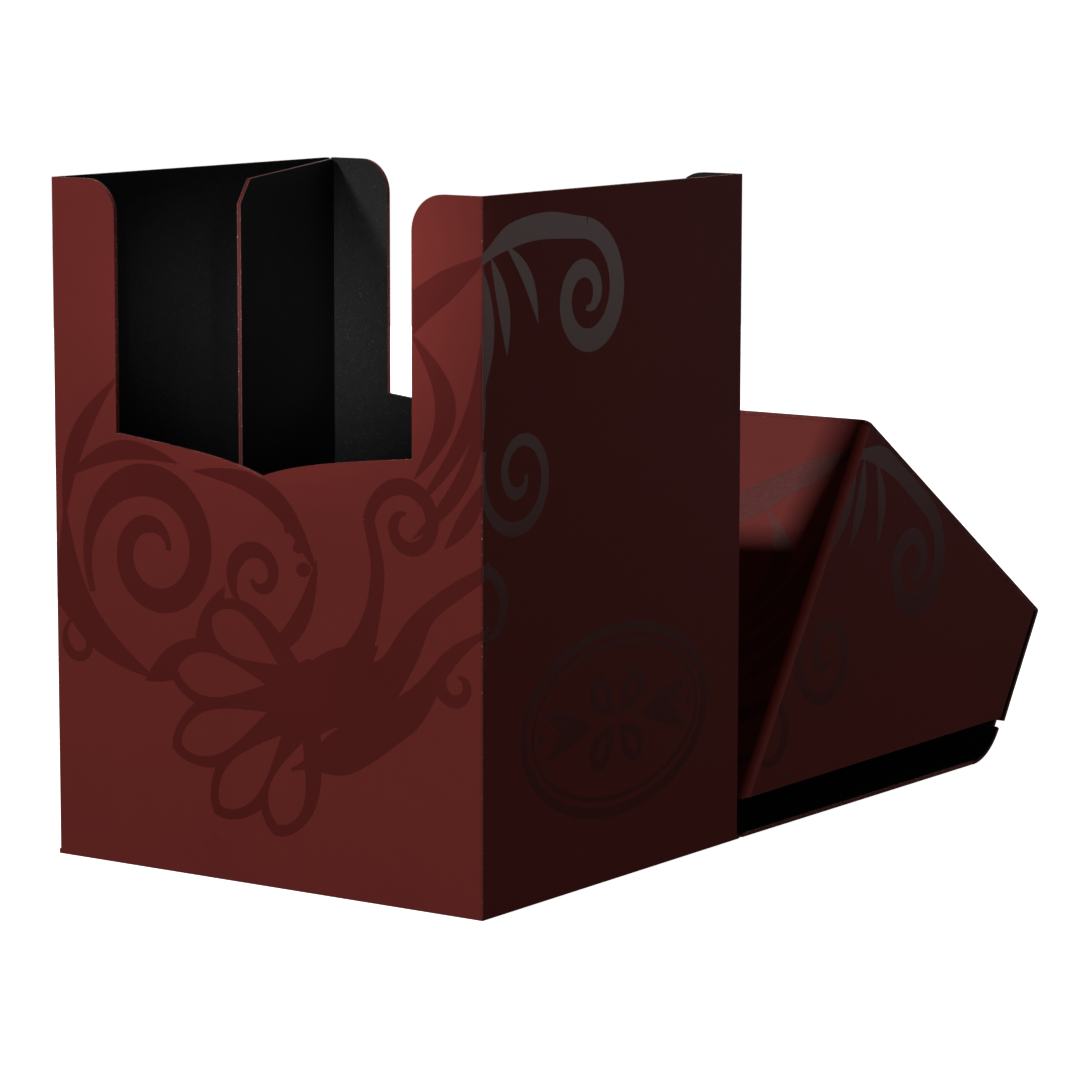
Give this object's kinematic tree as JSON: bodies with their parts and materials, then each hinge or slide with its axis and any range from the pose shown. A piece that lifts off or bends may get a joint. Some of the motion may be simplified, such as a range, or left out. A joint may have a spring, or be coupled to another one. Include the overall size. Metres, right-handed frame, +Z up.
{
  "type": "card deck box",
  "caption": "Open-topped box folded from thin coated sheet for sleeved cards, with finger windows, an inner flap, and a hood lid on a folding spine behind it.",
  "frame": {"origin": "middle of the underside of the box, on the surface it stands on", "axes": "+Z up; -Y the front, with the finger window; +Y back, where the spine and lid lie; +X the right side seen from the front"},
  "size_m": [0.0758, 0.1535, 0.0965],
  "materials": {
    "cover_red": "dark red coated sheet, fine matte grain, red raw edges",
    "lining_black": "black lining film with a very fine speckled grain",
    "flap_core": "red-brown sheet core seen only at the raw edges of the inner flap",
    "crease_web": "bending sheet at a crease, red outside and black inside",
    "print_gloss": "clear spot-gloss ink printed over the red sheet, slightly darker, satin gloss"
  },
  "bodies": {
    "box": {"base_sheet": "cover_red", "floor_panel": "cover_red", "floor_lining": "lining_black", "floor_tab_front": "lining_black", "floor_tab_left": "lining_black", "floor_tab_right": "lining_black", "front_wall": "cover_red", "back_wall": "cover_red", "left_wall": "cover_red", "right_wall": "cover_red", "front_wall_lining": "lining_black", "back_wall_lining": "lining_black", "left_wall_lining": "lining_black", "right_wall_lining": "lining_black", "wall_seam_tab": "lining_black", "base_crease": "crease_web", "flap_crease": "crease_web"},
    "spine": {"spine_panel": "cover_red", "spine_lining": "lining_black", "lid_crease": "crease_web"},
    "lid": {"lid_front": "cover_red", "lid_top": "cover_red", "lid_back": "cover_red", "lid_left_side": "cover_red", "lid_right_side": "cover_red", "lid_front_lining": "lining_black", "lid_top_lining": "lining_black", "lid_back_lining": "lining_black", "lid_left_side_lining": "lining_black", "lid_right_side_lining": "lining_black", "lid_left_top_tab": "lining_black", "lid_right_top_tab": "lining_black", "lid_left_back_tab": "lining_black", "lid_right_back_tab": "lining_black", "spine_tab": "cover_red", "spine_tab_lining": "lining_black"},
    "flap": {"inner_flap": "flap_core", "inner_flap_front_film": "lining_black", "inner_flap_back_film": "lining_black"}
  },
  "joints": [
    {"name": "spine_hinge", "type": "hinge", "parent": "box", "child": "spine", "pos_m": [0, 0.03265, 0.00035], "axis": [1, 0, 0], "range_deg": [0, 90], "deforming": ["base_crease"]},
    {"name": "lid_fold", "type": "hinge", "parent": "spine", "child": "lid", "pos_m": [0, 0.10613, 0.00035], "axis": [1, 0, 0], "range_deg": [-175.5, 0], "deforming": ["lid_crease"]},
    {"name": "flap_hinge", "type": "hinge", "parent": "box", "child": "flap", "pos_m": [-0.0354, 0.0306, 0.049], "axis": [0, 0, 1], "range_deg": [-24, 64], "deforming": ["flap_crease"]}
  ],
  "couplings": [
    {"joint": "lid_fold", "follows": "spine_hinge", "ratio": -1.95}
  ]
}
